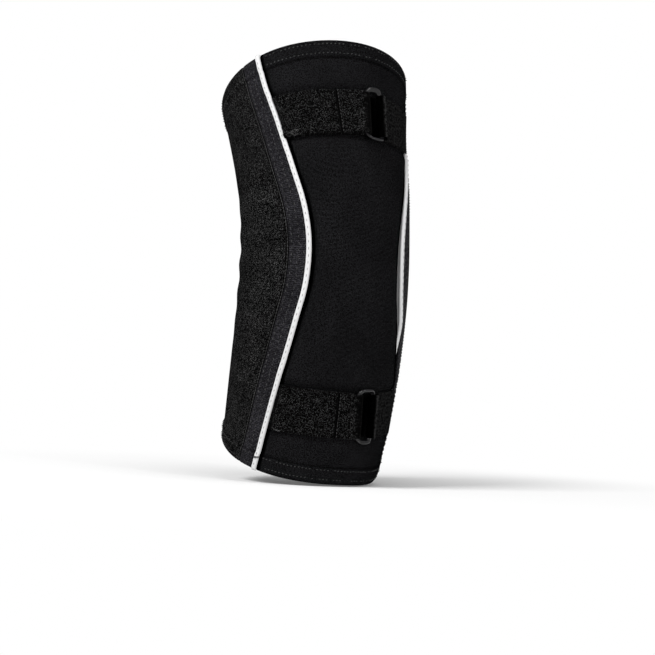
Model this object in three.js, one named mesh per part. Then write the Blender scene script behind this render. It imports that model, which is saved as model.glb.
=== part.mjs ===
// An elbow brace: a bent tube of padded neoprene panels, closed by two straps across its back.
//
// Z runs up the arm from the elbow, and the back panel faces -Y. A place on the tube is given by three
// numbers: the turn round it (0 at the middle of the back, growing towards +X), the share along it (-1 at
// the lower rim, 0 at the elbow, 1 at the upper rim) and the height over its outer face.

import * as THREE from "three";

// Tube, in millimetres
const ELBOW_WIDTH = 94.4;
const UPPER_ARM_WIDTH = 97.6;
const UPPER_RIM_WIDTH = 105.6;
const FOREARM_WIDTH = 93.4;
const LOWER_RIM_WIDTH = 91;
const DEPTH_SHARE = 0.94;
const WALL = 5;
const UPPER_LENGTH = 101.5;
const LOWER_LENGTH = 103.5;

// Bend of the arm, in degrees, and how far from the elbow it reaches, in millimetres
const UPPER_LEAN = 18;
const LOWER_LEAN = 11;
const BEND_REACH = 48;

// Rims: both run past the tube's length at the back and fall short of it at the crook
const UPPER_BACK_RISE = 11;
const UPPER_SIDE_RISE = 1.5;
const LOWER_BACK_DROP = 9;
const LOWER_SIDE_DROP = 1.5;
const RIM_RADIUS = 1.7;
const HEM_DEPTH = 8.7;
const HEM_RISE = 0.6;
const HEM_STEP = 0.6;

// The lower rim's corner on the +X side hangs lower and is tucked in. Its turn and spread are in degrees,
// and the tuck starts at this share of the way down.
const CORNER_TURN = 52;
const CORNER_SPREAD = 32;
const CORNER_DROP = 4;
const CORNER_TUCK = 3;
const CORNER_START = 0.6;

// Panels, measured round the tube
const BACK_PANEL_WAIST = 57.6;
const BACK_PANEL_TOP = 108.4;
const BACK_PANEL_FOOT = 90.2;
const SIDE_PANEL_WIDTH = 11.7;
const CLEARANCE = 0.3;

// Piping: a rounded head over the seam, on a flange that is sewn in between the panels
const PIPING_WIDTH = 2.8;
const PIPING_RISE = 1.5;
const PIPING_CROWN = 0.6;
const FLANGE_THICKNESS = 1;
const FLANGE_DEPTH = 2.5;
const FLANGE_EDGE = 0.34;

// Straps, tabs and rings
const STRAP_WIDTH = 25;
const STRAP_THICKNESS = 1.3;
const STRAP_END_THICKNESS = 1.2;
const TAB_THICKNESS = 1;
const RING_WIDTH = 13.6;
const RING_WIRE = 2.4;
const RING_THICKNESS = 1.8;
const RING_CORNER = 2;
const LAY_DOWN = 9;
const UPPER_STRAP_INSET = 32.4;
const LOWER_STRAP_INSET = 31;

// place: height of the strap's middle over the elbow, the same distance from either rim; turn: of the ring's
// middle, in degrees; slant: sideways shift of the ring for each millimetre up; fold: length folded back
// past the ring; endGap: from the free end to the piping's edge
const STRAPS = [
  {
    name: "upper",
    place: UPPER_LENGTH - UPPER_STRAP_INSET,
    turn: 11,
    slant: 0,
    fold: 16.4,
    endGap: 0.2,
  },
  {
    name: "lower",
    place: LOWER_STRAP_INSET - LOWER_LENGTH,
    turn: 14,
    slant: -0.08,
    fold: 12.6,
    endGap: 2,
  },
];

// The back panel's outline: the share of the way from its waist to its width at the rim
const BACK_PANEL_FLARE = [
  { along: -1, flare: 1 },
  { along: -0.75, flare: 0.8 },
  { along: -0.5, flare: 0.57 },
  { along: -0.25, flare: 0.27 },
  { along: -0.1, flare: 0.06 },
  { along: 0.05, flare: 0 },
  { along: 0.2, flare: 0.09 },
  { along: 0.4, flare: 0.35 },
  { along: 0.65, flare: 0.62 },
  { along: 0.85, flare: 0.87 },
  { along: 1, flare: 1 },
];

// The tube's width at six places along it
const TUBE_WIDTH = [
  { along: -1, width: LOWER_RIM_WIDTH },
  { along: -0.6, width: FOREARM_WIDTH },
  { along: -0.2, width: ELBOW_WIDTH },
  { along: 0.2, width: ELBOW_WIDTH },
  { along: 0.6, width: UPPER_ARM_WIDTH },
  { along: 1, width: UPPER_RIM_WIDTH },
];

// Facets
const ROWS = 22;
const BACK_PANEL_COLUMNS = 16;
const CROOK_PANEL_COLUMNS = 24;
const SIDE_PANEL_COLUMNS = 3;
const PIPING_ROWS = 32;
const STRAP_ROWS = 4;
const FOLD_STEPS = 6;
const CORNER_STEPS = 3;

const radians = THREE.MathUtils.degToRad;
const { lerp, clamp } = THREE.MathUtils;

// A smooth curve through one column of a table, whose slope at a row is that between its neighbours.
function follow(rows, column, along) {
  const last = rows.length - 1;
  const slope = (k) => {
    const before = rows[Math.max(k - 1, 0)];
    const after = rows[Math.min(k + 1, last)];
    return (after[column] - before[column]) / (after.along - before.along);
  };
  let i = 0;
  while (i < last - 1 && along > rows[i + 1].along) i += 1;
  const span = rows[i + 1].along - rows[i].along;
  const t = clamp((along - rows[i].along) / span, 0, 1);
  const ease = t * t * (3 - 2 * t);
  const rise = span * t * (1 - t);
  return lerp(rows[i][column], rows[i + 1][column], ease)
    + rise * ((1 - t) * slope(i) - t * slope(i + 1));
}

// Half the tube's width, and the mean radius that turns lengths round the tube into angles.
const halfWidth = (along) => follow(TUBE_WIDTH, "width", along) / 2;
const meanRadius = (along) => halfWidth(along) * (1 + DEPTH_SHARE) / 2;

// How near a turn is to the lower rim's corner: 1 at the corner, fading to 0 round it.
function cornerShare(turn) {
  return Math.exp(-(((turn - radians(CORNER_TURN)) / radians(CORNER_SPREAD)) ** 2));
}

// Length of the tube's centre line from the elbow to the rim, on the side that a turn points to.
function reach(turn, along) {
  if (along > 0) {
    return UPPER_LENGTH + UPPER_BACK_RISE * Math.cos(turn) - UPPER_SIDE_RISE * Math.cos(2 * turn);
  }
  return LOWER_LENGTH + LOWER_BACK_DROP * Math.cos(turn) - LOWER_SIDE_DROP * Math.cos(2 * turn)
    + CORNER_DROP * cornerShare(turn);
}

// How far the corner is tucked in at a turn and a share along the tube.
function cornerTuck(turn, along) {
  const down = clamp((-along - CORNER_START) / (1 - CORNER_START), 0, 1);
  return CORNER_TUCK * down ** 2 * cornerShare(turn);
}

// The centre line: an arc within the bend's reach, straight past it, bending towards +Y both ways.
function centre(length) {
  const up = Math.sign(length) || 1;
  const full = radians(up > 0 ? UPPER_LEAN : LOWER_LEAN);
  const inBend = Math.min(Math.abs(length), BEND_REACH);
  const past = Math.abs(length) - inBend;
  const lean = full * inBend / BEND_REACH;
  const radius = BEND_REACH / full;
  const y = radius * (1 - Math.cos(lean)) + past * Math.sin(lean);
  const z = radius * Math.sin(lean) + past * Math.cos(lean);
  return { y, z: up * z, lean: up * lean };
}

// The point at a turn, a share along the tube and a height over its outer face.
function onTube(turn, along, height) {
  const { y, z, lean } = centre(along * reach(turn, along));
  const wide = halfWidth(along);
  const deep = wide * DEPTH_SHARE;
  const normal = new THREE.Vector2(deep * Math.sin(turn), -wide * Math.cos(turn)).normalize();
  normal.multiplyScalar(height - cornerTuck(turn, along));
  const x = wide * Math.sin(turn) + normal.x;
  const out = -deep * Math.cos(turn) + normal.y;
  return new THREE.Vector3(x, y + out * Math.cos(lean), z - out * Math.sin(lean));
}

// How far the turned hem lifts the outer face.
function hemLift(along) {
  const fromRim = (1 - Math.abs(along)) * (along > 0 ? UPPER_LENGTH : LOWER_LENGTH);
  return HEM_RISE * clamp((HEM_DEPTH + HEM_STEP - fromRim) / HEM_STEP, 0, 1);
}

// Turns of the seams on the +X side: of the back panel, and of the side panel's far edge.
function backSeam(along) {
  const rim = along > 0 ? BACK_PANEL_TOP : BACK_PANEL_FOOT;
  const width = lerp(BACK_PANEL_WAIST, rim, follow(BACK_PANEL_FLARE, "flare", along));
  return width / 2 / meanRadius(along);
}
const sideSeam = (along) => backSeam(along) + SIDE_PANEL_WIDTH / meanRadius(along);

// A closed solid through stations. Each station is a list of pairs of points, one from each face of the
// piece, and the rungs between them close its two ends. With closed set, the last station meets the first.
function loft(stations, closed = false) {
  const rungs = stations[0].length;
  const around = 2 * rungs;
  const positions = [];
  for (const pairs of stations) {
    const loop = [...pairs.map((pair) => pair[0]), ...pairs.map((pair) => pair[1]).reverse()];
    for (const point of loop) positions.push(point.x, point.y, point.z);
  }
  const index = [];
  const quad = (a, b, c, d) => index.push(a, b, c, a, c, d);
  const joins = closed ? stations.length : stations.length - 1;
  for (let i = 0; i < joins; i += 1) {
    const here = i * around;
    const next = ((i + 1) % stations.length) * around;
    for (let k = 0; k < around; k += 1) {
      const after = (k + 1) % around;
      quad(here + k, here + after, next + after, next + k);
    }
  }
  if (!closed) {
    const end = (stations.length - 1) * around;
    for (let k = 0; k < rungs - 1; k += 1) {
      const other = around - 1 - k;
      quad(k, other, other - 1, k + 1);
      quad(end + k, end + k + 1, end + other - 1, end + other);
    }
  }
  const geometry = new THREE.BufferGeometry();
  geometry.setAttribute("position", new THREE.Float32BufferAttribute(positions, 3));
  geometry.setIndex(volume(positions, index) < 0 ? index.reverse() : index);
  geometry.computeVertexNormals();
  return geometry;
}

// The volume that a mesh encloses, which is negative where its faces point inwards.
function volume(positions, index) {
  const corner = (k) => new THREE.Vector3().fromArray(positions, 3 * index[k]);
  let sum = 0;
  for (let k = 0; k < index.length; k += 3) {
    sum += corner(k).dot(corner(k + 1).cross(corner(k + 2)));
  }
  return sum;
}

// Materials
const finish = (color, roughness) => new THREE.MeshStandardMaterial({ color, roughness, metalness: 0 });
const FINISHES = {
  smooth: finish(0x151516, 0.82),
  knit: finish(0x1d1d1e, 0.95),
  piping: finish(0xf2f2f0, 0.6),
  pile: finish(0x18181a, 1),
  webbing: finish(0x151516, 0.9),
  plastic: finish(0x0c0c0d, 0.22),
};

const brace = new THREE.Group();

function add(name, geometry, material) {
  const mesh = new THREE.Mesh(geometry, material);
  mesh.name = name;
  brace.add(mesh);
}

// The wall's rows from the lower rim to the upper one: its share along the tube and the heights of its
// outer and inner face. Both rims are rounded, and the rows are dense at the hems.
function wallRows() {
  const rim = [];
  for (const angle of [90, 45, 0].map(radians)) {
    const inset = RIM_RADIUS * (1 - Math.cos(angle));
    rim.push({ fromRim: RIM_RADIUS * (1 - Math.sin(angle)), outer: HEM_RISE - inset, inner: inset - WALL });
  }
  rim.push({ fromRim: HEM_DEPTH, outer: HEM_RISE, inner: -WALL });
  rim.push({ fromRim: HEM_DEPTH + HEM_STEP, outer: 0, inner: -WALL });
  const lower = rim.map(({ fromRim, ...faces }) => ({ along: fromRim / LOWER_LENGTH - 1, ...faces }));
  const upper = rim.map(({ fromRim, ...faces }) => ({ along: 1 - fromRim / UPPER_LENGTH, ...faces }));
  upper.reverse();
  const from = lower.at(-1).along;
  const to = upper[0].along;
  const middle = [];
  for (let i = 1; i < ROWS; i += 1) {
    middle.push({ along: lerp(from, to, i / ROWS), outer: 0, inner: -WALL });
  }
  return [...lower, ...middle, ...upper];
}

// Half of the gap that a panel leaves at a seam: even at a sewn edge, and at the piping wide enough at the
// outer face for the flange.
const sewnGap = () => CLEARANCE / 2;
function pipedGap(height) {
  const depth = clamp(-height / WALL, 0, 1);
  return lerp(FLANGE_THICKNESS / 2 + CLEARANCE, CLEARANCE / 2, depth);
}

// A panel of the wall between two seams, given as turns that depend on the share along the tube.
function panel(fromSeam, toSeam, fromGap, toGap, columns) {
  const rows = wallRows();
  const stations = [];
  for (let i = 0; i <= columns; i += 1) {
    const point = (along, height) => {
      const from = fromSeam(along) + fromGap(height) / meanRadius(along);
      const to = toSeam(along) - toGap(height) / meanRadius(along);
      return onTube(lerp(from, to, i / columns), along, height);
    };
    stations.push(rows.map((row) => [point(row.along, row.outer), point(row.along, row.inner)]));
  }
  return loft(stations);
}

// The piping's section as pairs, from the flange's edge up to the crown of the head.
const PIPING_SECTION = [
  { half: FLANGE_EDGE / 2, height: -FLANGE_DEPTH },
  { half: FLANGE_THICKNESS / 2, height: CLEARANCE / 2 },
  { half: PIPING_WIDTH / 2, height: CLEARANCE + CLEARANCE / 2 },
  { half: PIPING_WIDTH / 2, height: PIPING_RISE - PIPING_CROWN },
  { half: PIPING_WIDTH / 2 - PIPING_CROWN, height: PIPING_RISE },
];

function piping(side) {
  const stations = [];
  for (let i = 0; i <= PIPING_ROWS; i += 1) {
    const along = lerp(-1, 1, i / PIPING_ROWS);
    const seam = backSeam(along);
    stations.push(PIPING_SECTION.map(({ half, height }) => [-half, half].map((shift) => {
      const turn = side * seam + shift / meanRadius(along);
      return onTube(turn, along, height + hemLift(along));
    })));
  }
  return loft(stations);
}

// A strap's own flat frame: y runs up its width, x round the tube from the ring's middle.
function ringTurn(strap, y, along) {
  return radians(strap.turn) + strap.slant * y / halfWidth(along);
}
const BAR_OFFSET = (RING_WIDTH - RING_WIRE) / 2;
const BAR_HEIGHT = 2 * CLEARANCE + STRAP_THICKNESS + RING_THICKNESS / 2;

function onStrap(strap, x, y, height) {
  const length = strap.place + y;
  let along = length / reach(0, length);
  let turn = 0;
  for (let pass = 0; pass < 3; pass += 1) {
    turn = ringTurn(strap, y, along) + x / (halfWidth(along) + BAR_HEIGHT);
    along = length / reach(turn, length);
  }
  return onTube(turn, along, height);
}

// The share along the tube at which the piping on one side (-1 or 1) passes a height over the elbow.
function seamAlong(side, length) {
  let along = length / reach(0, length);
  for (let pass = 0; pass < 4; pass += 1) along = length / reach(side * backSeam(along), length);
  return along;
}

// Distance round the tube from the ring's bar on one side to the near edge of the piping there.
function barToPiping(strap, side, y) {
  const along = seamAlong(side, strap.place + y);
  const edge = backSeam(along) - (PIPING_WIDTH / 2 + CLEARANCE) / meanRadius(along);
  return (edge - side * ringTurn(strap, y, along)) * (halfWidth(along) + BAR_HEIGHT) - BAR_OFFSET;
}

// The section of a band that comes from the piping, goes under a bar of the ring, round it and back over
// itself, as a line of centre points. x is the distance from the bar towards the piping.
function foldedLine(thickness, rootAt, returnTo) {
  const low = CLEARANCE + thickness / 2;
  const high = 2 * BAR_HEIGHT - low;
  const laid = low + thickness + CLEARANCE;
  const roundBar = RING_WIRE / 2 + CLEARANCE + thickness / 2;
  const line = [];
  for (let i = 0; i <= FOLD_STEPS; i += 1) {
    line.push(new THREE.Vector2(lerp(rootAt, 0, i / FOLD_STEPS), low));
  }
  for (let i = 1; i < FOLD_STEPS; i += 1) {
    const angle = Math.PI * i / FOLD_STEPS;
    line.push(new THREE.Vector2(-roundBar * Math.sin(angle), lerp(low, high, (1 - Math.cos(angle)) / 2)));
  }
  const from = RING_WIRE / 2;
  for (let i = 0; i <= FOLD_STEPS; i += 1) {
    const t = i / FOLD_STEPS;
    line.push(new THREE.Vector2(lerp(from, from + LAY_DOWN, t), lerp(high, laid, t * t * (3 - 2 * t))));
  }
  const start = from + LAY_DOWN;
  const steps = Math.max(1, Math.round((returnTo - start) / LAY_DOWN));
  for (let i = 1; i <= steps; i += 1) {
    line.push(new THREE.Vector2(lerp(start, returnTo, i / steps), laid));
  }
  return line;
}

// The pairs of points on both faces of a line with a thickness.
function thicken(line, thickness) {
  return line.map((point, i) => {
    const before = line[Math.max(i - 1, 0)];
    const after = line[Math.min(i + 1, line.length - 1)];
    const along = after.clone().sub(before).normalize();
    const across = new THREE.Vector2(-along.y, along.x).multiplyScalar(thickness / 2);
    return [point.clone().add(across), point.clone().sub(across)];
  });
}

// A band swept across the strap's width. Lengths towards the piping stretch a little so that its ends
// follow the piping's slant.
function band(strap, side, section) {
  const middle = barToPiping(strap, side, 0);
  const stations = [];
  for (let i = 0; i <= STRAP_ROWS; i += 1) {
    const y = lerp(-STRAP_WIDTH / 2, STRAP_WIDTH / 2, i / STRAP_ROWS);
    const stretch = barToPiping(strap, side, y) / middle;
    const point = ({ x, y: height }) => {
      const fromBar = x > 0 ? x * stretch : x;
      return onStrap(strap, side * (BAR_OFFSET + fromBar), y, height);
    };
    stations.push(section.map((pair) => pair.map(point)));
  }
  return loft(stations);
}

function strapBand(strap) {
  const root = barToPiping(strap, -1, 0);
  return band(strap, -1, thicken(foldedLine(STRAP_THICKNESS, root, strap.fold), STRAP_THICKNESS));
}

function strapEnd(strap) {
  const from = strap.fold + CLEARANCE;
  const to = barToPiping(strap, -1, 0) - strap.endGap;
  const height = CLEARANCE + STRAP_THICKNESS + CLEARANCE + STRAP_END_THICKNESS / 2;
  const line = [];
  for (let i = 0; i <= FOLD_STEPS; i += 1) {
    line.push(new THREE.Vector2(lerp(from, to, i / FOLD_STEPS), height));
  }
  return band(strap, -1, thicken(line, STRAP_END_THICKNESS));
}

function tab(strap) {
  const root = barToPiping(strap, 1, 0);
  return band(strap, 1, thicken(foldedLine(TAB_THICKNESS, root, root), TAB_THICKNESS));
}

// The ring: a rounded wire bent into a rectangle with round corners, just wide enough for the strap.
function ring(strap) {
  const halfTall = (STRAP_WIDTH + RING_WIRE) / 2 + CLEARANCE;
  const path = [];
  for (const [sx, sy, start] of [[1, -1, -90], [1, 1, 0], [-1, 1, 90], [-1, -1, 180]]) {
    const cx = sx * (BAR_OFFSET - RING_CORNER);
    const cy = sy * (halfTall - RING_CORNER);
    for (let i = 0; i <= CORNER_STEPS; i += 1) {
      const angle = radians(start + 90 * i / CORNER_STEPS);
      path.push({ x: cx + RING_CORNER * Math.cos(angle), y: cy + RING_CORNER * Math.sin(angle), angle });
    }
    if (sx === sy) continue;
    for (const share of [0.25, 0.5, 0.75]) {
      path.push({ x: sx * BAR_OFFSET, y: lerp(cy, -cy, share), angle: sx > 0 ? 0 : Math.PI });
    }
  }
  const half = { across: RING_WIRE / 2, up: RING_THICKNESS / 2 };
  const stations = path.map(({ x, y, angle }) => {
    const point = (degrees) => {
      const out = half.across * Math.cos(radians(degrees));
      const height = BAR_HEIGHT + half.up * Math.sin(radians(degrees));
      return onStrap(strap, x + out * Math.cos(angle), y + out * Math.sin(angle), height);
    };
    return [-67.5, -22.5, 22.5, 67.5].map((degrees) => [point(degrees), point(180 - degrees)]);
  });
  return loft(stations, true);
}

const opposite = (seam) => (along) => -seam(along);
const roundFrom = (seam) => (along) => 2 * Math.PI - seam(along);

add("back_panel", panel(opposite(backSeam), backSeam, pipedGap, pipedGap, BACK_PANEL_COLUMNS),
  FINISHES.smooth);
add("side_panel_left", panel(opposite(sideSeam), opposite(backSeam), sewnGap, pipedGap, SIDE_PANEL_COLUMNS),
  FINISHES.smooth);
add("side_panel_right", panel(backSeam, sideSeam, pipedGap, sewnGap, SIDE_PANEL_COLUMNS), FINISHES.smooth);
add("crook_panel", panel(sideSeam, roundFrom(sideSeam), sewnGap, sewnGap, CROOK_PANEL_COLUMNS),
  FINISHES.knit);
add("piping_left", piping(-1), FINISHES.piping);
add("piping_right", piping(1), FINISHES.piping);
for (const strap of STRAPS) {
  add(`strap_${strap.name}`, strapBand(strap), FINISHES.pile);
  add(`strap_end_${strap.name}`, strapEnd(strap), FINISHES.pile);
  add(`tab_${strap.name}`, tab(strap), FINISHES.webbing);
  add(`ring_${strap.name}`, ring(strap), FINISHES.plastic);
}

export default brace;
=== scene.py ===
# %% [markdown]
# An elbow brace is a short tube of padded neoprene, sewn from a few panels and closed by two straps.
# The construction is already drawn at its real size, so this lesson loads it as a fixed frame and dresses
# it: every panel, strap and ring gets a finely modelled piece of its own and a procedural material.

# %% Load the frame
from collections import namedtuple
from functools import lru_cache, partialmethod
from math import atan2, copysign, cos, exp, hypot, pi, radians, sin, sqrt
from random import random, seed, uniform

import bmesh
import bpy
from mathutils import Matrix, Vector, noise


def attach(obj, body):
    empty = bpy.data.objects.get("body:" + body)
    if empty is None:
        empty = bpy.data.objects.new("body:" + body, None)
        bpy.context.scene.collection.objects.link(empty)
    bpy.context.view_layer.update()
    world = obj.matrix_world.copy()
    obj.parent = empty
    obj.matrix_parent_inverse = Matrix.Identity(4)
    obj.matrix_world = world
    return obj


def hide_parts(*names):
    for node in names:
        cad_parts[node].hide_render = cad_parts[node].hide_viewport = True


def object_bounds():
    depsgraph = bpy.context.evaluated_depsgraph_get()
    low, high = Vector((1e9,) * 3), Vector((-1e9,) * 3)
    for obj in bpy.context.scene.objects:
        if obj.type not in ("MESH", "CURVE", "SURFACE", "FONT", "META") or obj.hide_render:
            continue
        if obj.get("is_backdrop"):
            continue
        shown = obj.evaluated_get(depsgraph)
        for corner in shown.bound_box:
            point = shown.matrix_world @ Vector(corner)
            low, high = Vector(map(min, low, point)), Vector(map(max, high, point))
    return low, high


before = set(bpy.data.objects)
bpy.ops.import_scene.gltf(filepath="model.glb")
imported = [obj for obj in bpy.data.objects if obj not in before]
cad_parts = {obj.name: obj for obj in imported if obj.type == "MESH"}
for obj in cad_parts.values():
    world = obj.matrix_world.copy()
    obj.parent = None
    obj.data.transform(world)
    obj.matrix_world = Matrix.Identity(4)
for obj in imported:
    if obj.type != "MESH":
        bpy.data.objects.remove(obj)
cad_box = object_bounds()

print("nodes in the frame:", ", ".join(sorted(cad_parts)))

# %% [markdown]
# All pieces lie on one bent tube, so they share a small set of driving sizes. They are kept in millimetres,
# as a maker would write them down, and turned into metres only where a point is placed.

# %% Driving sizes, in millimetres and degrees
MM = 0.001
# rows of (share of the way from the lower rim, -1, to the upper, 1; width of the tube there)
TUBE_WIDTH = [(-1, 91), (-0.6, 93.4), (-0.2, 94.4), (0.2, 94.4), (0.6, 97.6), (1, 105.6)]
DEPTH_SHARE = 0.94
WALL = 5
UPPER_LENGTH, LOWER_LENGTH = 101.5, 103.5
UPPER_LEAN, LOWER_LEAN, BEND_REACH = 18, 11, 48
UPPER_BACK_RISE, UPPER_SIDE_RISE = 11, 1.5
LOWER_BACK_DROP, LOWER_SIDE_DROP = 9, 1.5
RIM_RADIUS, HEM_DEPTH, HEM_RISE, HEM_STEP = 2.2, 8.9, 0.6, 0.9
PANEL_WAIST, PANEL_TOP, PANEL_FOOT = 57.6, 108.4, 90.2
# rows of (share along the tube, share of the way from the back panel's waist to its width at the rim)
PANEL_FLARE = [(-1, 1), (-0.75, 0.8), (-0.5, 0.57), (-0.25, 0.27), (-0.1, 0.06), (0.05, 0),
               (0.2, 0.09), (0.4, 0.35), (0.65, 0.62), (0.85, 0.87), (1, 1)]
SIDE_WIDTH = 11.7
CLEAR = 0.3
CORNER_TURN, CORNER_SPREAD = 52, 32
CORNER_DROP, CORNER_TUCK, CORNER_START = 4, 3, 0.6
SLEEVE_LENGTH = UPPER_LENGTH + LOWER_LENGTH
print("sleeve:", SLEEVE_LENGTH, "mm long on its axis")

# %% [markdown]
# Small helpers do the blending. Straight lines between the rows of a table would leave kinks in the outline,
# so a table is followed with a smooth curve, and then a handful of rows is enough for a whole outline.

# %% Blending helpers
def lerp(a, b, t):
    return a + (b - a) * t


def clamp(x):
    return max(0.0, min(1.0, x))


def ease(x):
    t = clamp(x)
    return t * t * (3 - 2 * t)


def follow(rows, at):
    last = len(rows) - 1
    i = 0
    while i < last - 1 and at > rows[i + 1][0]:
        i += 1

    def slope(k):
        before, after = rows[max(k - 1, 0)], rows[min(k + 1, last)]
        return (after[1] - before[1]) / (after[0] - before[0])

    span = rows[i + 1][0] - rows[i][0]
    t = clamp((at - rows[i][0]) / span)
    bend = span * t * (1 - t) * ((1 - t) * slope(i) - t * slope(i + 1))
    return lerp(rows[i][1], rows[i + 1][1], ease(t)) + bend


print("width half-way up the arm:", round(follow(TUBE_WIDTH, 0.5), 1), "mm")

# %% [markdown]
# The real sleeve is cut flat and bent by the arm. It could be modelled straight and bent with a modifier, but
# then nothing would lie exactly on the frame. So a place is given by a turn round the tube (0 at the middle
# of the back), a share along it (-1 at the lower rim, 1 at the upper) and a height over the outer face. One
# function turns that into a point.

# %% The bent tube
@lru_cache(maxsize=None)
def half_width(along):
    return follow(TUBE_WIDTH, along) / 2


def mean_radius(along):
    return half_width(along) * (1 + DEPTH_SHARE) / 2


def half_length(along):
    return UPPER_LENGTH if along > 0 else LOWER_LENGTH


def rim_distance(along):
    return (1 - abs(along)) * half_length(along)


def corner_share(turn):
    return exp(-((turn - radians(CORNER_TURN)) / radians(CORNER_SPREAD)) ** 2)


def reach(turn, along):
    if along > 0:
        return UPPER_LENGTH + UPPER_BACK_RISE * cos(turn) - UPPER_SIDE_RISE * cos(2 * turn)
    drop = LOWER_BACK_DROP * cos(turn) - LOWER_SIDE_DROP * cos(2 * turn)
    return LOWER_LENGTH + drop + CORNER_DROP * corner_share(turn)


def corner_tuck(turn, along):
    return CORNER_TUCK * clamp((-along - CORNER_START) / (1 - CORNER_START)) ** 2 * corner_share(turn)


def centre(length):
    up = -1 if length < 0 else 1
    full = radians(UPPER_LEAN if up > 0 else LOWER_LEAN)
    in_bend = min(abs(length), BEND_REACH)
    past = abs(length) - in_bend
    lean = full * in_bend / BEND_REACH
    radius = BEND_REACH / full
    y = radius * (1 - cos(lean)) + past * sin(lean)
    z = radius * sin(lean) + past * cos(lean)
    return y, up * z, up * lean


def on_tube(turn, along, height=0.0):
    y, z, lean = centre(along * reach(turn, along))
    wide = half_width(along)
    deep = wide * DEPTH_SHARE
    nx, ny = deep * sin(turn), -wide * cos(turn)
    scale = (height - corner_tuck(turn, along)) / hypot(nx, ny)
    x = wide * sin(turn) + nx * scale
    out = -deep * cos(turn) + ny * scale
    return Vector((x, y + out * cos(lean), z - out * sin(lean))) * MM


@lru_cache(maxsize=None)
def back_seam(along):
    rim = PANEL_TOP if along > 0 else PANEL_FOOT
    return lerp(PANEL_WAIST, rim, follow(PANEL_FLARE, along)) / 2 / mean_radius(along)


@lru_cache(maxsize=None)
def side_seam(along):
    return back_seam(along) + SIDE_WIDTH / mean_radius(along)


print("elbow outside:", round(2 * half_width(0), 1), "mm wide")

# %% [markdown]
# Neoprene under tension is smooth but never perfect. The hem stands up where the edge is turned in, the
# panel swells a little beside a tight strap, sinks beside the piping at the elbow, and folds softly in the
# crook. These forms are worked out once, as a height that every piece on the surface can ask for.

# %% Relief of the padded wall
UPPER_INSET, LOWER_INSET, STRAP_WIDTH = 32.4, 31, 25
STRAP_PLACES = (UPPER_LENGTH - UPPER_INSET, LOWER_INSET - LOWER_LENGTH)
SWELL, SWELL_WIDTH, SWELL_START = 0.45, 4.5, 2
FOLD_DEPTH, FOLD_PITCH = 0.8, 17
FOLD_REACH, FOLD_SWAY = 30, 0.8
DRIFT, DRIFT_SIZE, CALM = 0.3, 34, 0.3
CALM_EDGE, CALM_TURN = 3, 1.1
VALLEY_DEPTH, VALLEY_WIDTH, VALLEY_REACH, VALLEY_MIDDLE = 1.5, 4.4, 0.24, -0.05
PRESS, PRESS_EDGE = 1.3, 2.5


def hem_lift(along):
    return HEM_RISE * ease((HEM_DEPTH + HEM_STEP - rim_distance(along)) / HEM_STEP)


def strap_swell(turn, along):
    length = along * reach(turn, along)
    total = 0
    for place in STRAP_PLACES:
        off = abs(length - place) - STRAP_WIDTH / 2 - SWELL_START
        if off > 0:
            total += SWELL * exp(-((off - SWELL_WIDTH / 2) / SWELL_WIDTH) ** 2) * ease(off / SWELL_START)
    return total * clamp(2.2 - abs(turn) * 1.8)


def crook_fold(turn, along):
    away = abs(pi - abs(turn))
    length = along * reach(turn, along)
    wave = cos(length / FOLD_PITCH * 2 * pi + FOLD_SWAY * sin(turn * 3))
    return FOLD_DEPTH * wave * exp(-(length / FOLD_REACH) ** 2) * ease((2.0 - away) / 1.6)


def from_piping(turn, along):
    return (back_seam(along) - abs(turn)) * mean_radius(along)


def valley(turn, along):
    beside = from_piping(turn, along)
    if beside < 0:
        return 0
    depth = VALLEY_DEPTH * exp(-((along - VALLEY_MIDDLE) / VALLEY_REACH) ** 2)
    return depth * ease(1.35 - beside / VALLEY_WIDTH)


def wrap(turn):
    return atan2(sin(turn), cos(turn))


def press(turn, along):
    """How far a tight strap sinks into the padding."""
    length = along * reach(turn, along)
    off = min(abs(length - place) for place in STRAP_PLACES) - STRAP_WIDTH / 2
    return PRESS * ease(1 - off / PRESS_EDGE) * ease(from_piping(turn, along) / PRESS_EDGE)


def relief(turn, along):
    wrapped = wrap(turn)
    drift = DRIFT * noise.noise(on_tube(wrapped, along) / (DRIFT_SIZE * MM))
    length = along * reach(wrapped, along)
    near_strap = any(abs(length - place) < STRAP_WIDTH / 2 + CALM_EDGE for place in STRAP_PLACES)
    if near_strap and abs(wrapped) < CALM_TURN:
        drift *= CALM
    swell = strap_swell(wrapped, along) + crook_fold(wrapped, along)
    return drift + swell - valley(wrapped, along) - press(wrapped, along)


def on_skin(turn, along, height):
    return on_tube(turn, along, height + relief(turn, along) + hem_lift(along))


print("under a strap the padding gives way by", round(press(0, STRAP_PLACES[0] / reach(0, 1)), 2), "mm")

# %% [markdown]
# Cloth could be simulated, but this cloth is stretched tight and its place is known to the millimetre. So
# every piece starts as a flat grid, the way cloth starts as a flat cut, and moving the grid's points drapes
# it. Extruding the faces first gives it a second side. The flat coordinates stay with the grid as a UV map
# called cut, in millimetres, so that knit and weave follow the cloth.

# %% Making pieces from grids
def crowd(share, amount):
    """Crowds grid lines towards both ends of a piece, where its edges are rounded."""
    return share - amount * sin(2 * pi * share) / (2 * pi)


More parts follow.
